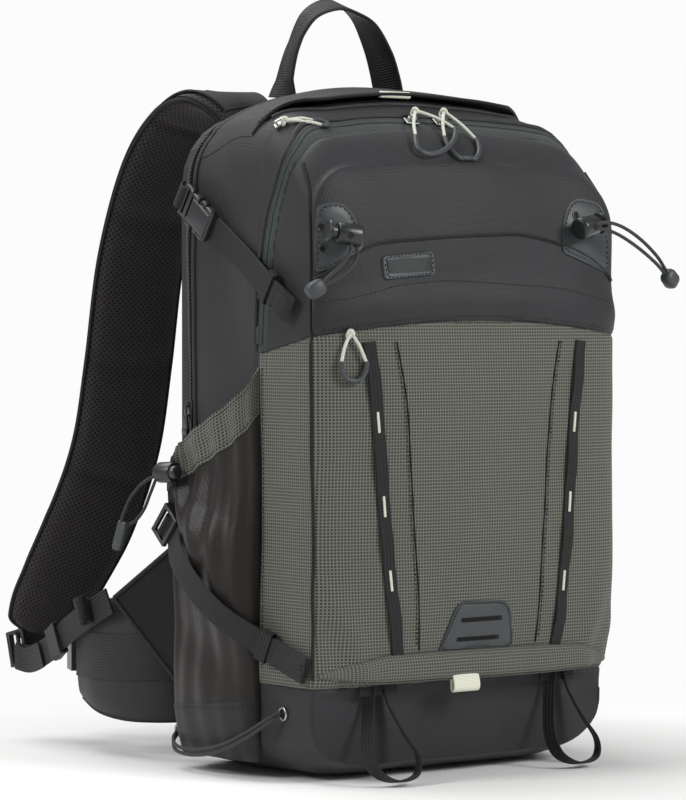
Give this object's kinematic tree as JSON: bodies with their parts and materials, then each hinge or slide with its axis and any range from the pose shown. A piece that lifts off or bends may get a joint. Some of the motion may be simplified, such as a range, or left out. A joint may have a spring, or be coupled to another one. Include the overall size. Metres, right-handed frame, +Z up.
{
  "type": "ski backpack",
  "caption": "Upright ski and photo backpack: padded body with front arch zip, stretch side pockets, hinged back panel, shoulder straps and hip belt.",
  "frame": {"origin": "centre of the flat base that the pack stands on", "axes": "+Z up, -Y the front of the pack, +Y the wearer's back, -X the wearer's left"},
  "size_m": [0.3658, 0.4368, 0.5807],
  "materials": {
    "nylon": "smooth black nylon, padded",
    "ripstop": "grey-green check ripstop",
    "stretch": "brown-black four-way stretch fabric",
    "mesh": "perforated spacer mesh over foam",
    "zip_tape": "dark grey-green woven zip tape",
    "webbing": "ribbed black nylon webbing",
    "elastic": "braided elastic cord with a moulded end",
    "cream_cord": "cream cord with a dark rubber grip",
    "rubber": "moulded dark rubber, matt",
    "acetal": "black moulded acetal, satin",
    "foam": "closed-cell foam covered in nylon",
    "sheet_plastic": "stiff plastic sheet",
    "aluminium": "plain aluminium flat bar",
    "nickel": "nickel-plated die-cast zinc"
  },
  "bodies": {
    "bag": {"bottom_panel": "nylon", "front_pocket_panel": "ripstop", "front_upper_panel": "nylon", "front_zip_tape": "zip_tape", "main_panel": "nylon", "rear_zip_tape": "zip_tape", "storm_flap": "nylon", "compartment_divider": "foam", "pocket_lip": "ripstop", "side_pocket_left": "stretch", "daisy_chain_left": "webbing", "bungee_patch_left": "rubber", "upper_strap_left": "webbing", "upper_latch_left": "acetal", "lower_strap_left": "webbing", "lower_ladder_left": "acetal", "bungee_lock_left": "acetal", "front_bungee_left": "elastic", "base_bungee_left": "elastic", "side_pocket_right": "stretch", "daisy_chain_right": "webbing", "bungee_patch_right": "rubber", "upper_strap_right": "webbing", "upper_latch_right": "acetal", "lower_strap_right": "webbing", "lower_ladder_right": "acetal", "bungee_lock_right": "acetal", "front_bungee_right": "elastic", "base_bungee_right": "elastic"},
    "back_panel": {"back_panel": "foam", "frame_sheet": "sheet_plastic", "frame_stay": "aluminium", "lumbar_pad": "mesh", "back_pad_left": "mesh", "back_pad_right": "mesh", "strap_wing_left": "nylon", "strap_wing_right": "nylon"},
    "handle": {"haul_handle": "webbing"},
    "strap_left": {"shoulder_strap_left": "mesh", "strap_webbing_left": "webbing", "strap_ladder_left": "acetal"},
    "hip_left": {"hip_wing_left": "nylon", "hip_buckle_socket": "acetal"},
    "slider_left": {"front_slider_left": "nickel"},
    "pull_left": {"front_pull_left": "cream_cord"},
    "plunger_left": {"lock_plunger_left": "acetal"},
    "buckle_left": {"upper_buckle_left": "acetal"},
    "loop_left": {"tool_loop_left": "webbing"},
    "strap_right": {"shoulder_strap_right": "mesh", "strap_webbing_right": "webbing", "strap_ladder_right": "acetal"},
    "hip_right": {"hip_wing_right": "nylon", "hip_buckle_prong": "acetal"},
    "slider_right": {"front_slider_right": "nickel"},
    "pull_right": {"front_pull_right": "cream_cord"},
    "plunger_right": {"lock_plunger_right": "acetal"},
    "buckle_right": {"upper_buckle_right": "acetal"},
    "loop_right": {"tool_loop_right": "webbing"},
    "rear_slider": {"rear_slider": "nickel"},
    "pocket_pull": {"pocket_pull": "cream_cord"}
  },
  "joints": [
    {"name": "back_panel_open", "type": "hinge", "parent": "bag", "child": "back_panel", "pos_m": [0, 0.0575, 0.006], "axis": [-1, 0, 0], "range_deg": [0, 100]},
    {"name": "handle_tilt", "type": "hinge", "parent": "bag", "child": "handle", "pos_m": [0, 0.0505, 0.508], "axis": [1, 0, 0], "range_deg": [-60, 22], "stiffness_Nm_per_rad": 0.05},
    {"name": "strap_left_swing", "type": "hinge", "parent": "back_panel", "child": "strap_left", "pos_m": [-0.056, 0.077, 0.464], "axis": [-0.2914, 0.1326, -0.9474], "range_deg": [-20, 2], "stiffness_Nm_per_rad": 0.6},
    {"name": "hip_left_fold", "type": "hinge", "parent": "back_panel", "child": "hip_left", "pos_m": [-0.104, 0.079, 0.079], "axis": [0, 0, 1], "range_deg": [-45, 1], "stiffness_Nm_per_rad": 0.5},
    {"name": "strap_right_swing", "type": "hinge", "parent": "back_panel", "child": "strap_right", "pos_m": [0.056, 0.077, 0.464], "axis": [0.2914, 0.1326, -0.9474], "range_deg": [-2, 20], "stiffness_Nm_per_rad": 0.6},
    {"name": "hip_right_fold", "type": "hinge", "parent": "back_panel", "child": "hip_right", "pos_m": [0.104, 0.079, 0.079], "axis": [0, 0, 1], "range_deg": [-1, 45], "stiffness_Nm_per_rad": 0.5},
    {"name": "slider_left_run", "type": "hinge", "parent": "bag", "child": "slider_left", "pos_m": [0, -0.07, -0.549], "axis": [0, 1, 0], "range_deg": [-3.8, 0]},
    {"name": "slider_right_run", "type": "hinge", "parent": "bag", "child": "slider_right", "pos_m": [0, -0.07, -0.549], "axis": [0, 1, 0], "range_deg": [0, 5]},
    {"name": "pull_left_swing", "type": "hinge", "parent": "slider_left", "child": "pull_left", "pos_m": [-0.0238, -0.0798, 0.4817], "axis": [-1, 0, 0], "range_deg": [0, 100]},
    {"name": "pull_right_swing", "type": "hinge", "parent": "slider_right", "child": "pull_right", "pos_m": [0.0024, -0.0798, 0.4821], "axis": [-1, 0, 0], "range_deg": [0, 100]},
    {"name": "pocket_pull_swing", "type": "hinge", "parent": "bag", "child": "pocket_pull", "pos_m": [-0.1172, -0.1175, 0.33], "axis": [-1, 0, 0], "range_deg": [0, 110]},
    {"name": "rear_slider_run", "type": "slide", "parent": "bag", "child": "rear_slider", "axis": [0, 0, 1], "range_m": [-0.003, 0.12]},
    {"name": "plunger_left_press", "type": "slide", "parent": "bag", "child": "plunger_left", "axis": [0.9623, -0.2721, 0], "range_m": [0, 0.004], "stiffness_N_per_m": 400, "springref_m": -0.002},
    {"name": "buckle_left_release", "type": "slide", "parent": "bag", "child": "buckle_left", "axis": [0, -0.8331, -0.5531], "range_m": [0, 0.02]},
    {"name": "loop_left_swing", "type": "hinge", "parent": "bag", "child": "loop_left", "pos_m": [-0.087, -0.1091, 0.07], "axis": [-1, 0, 0], "range_deg": [0, 75]},
    {"name": "plunger_right_press", "type": "slide", "parent": "bag", "child": "plunger_right", "axis": [-0.9929, -0.1192, 0], "range_m": [0, 0.004], "stiffness_N_per_m": 400, "springref_m": -0.002},
    {"name": "buckle_right_release", "type": "slide", "parent": "bag", "child": "buckle_right", "axis": [0, -0.8331, -0.5531], "range_m": [0, 0.02]},
    {"name": "loop_right_swing", "type": "hinge", "parent": "bag", "child": "loop_right", "pos_m": [0.087, -0.1091, 0.07], "axis": [-1, 0, 0], "range_deg": [0, 75]}
  ]
}
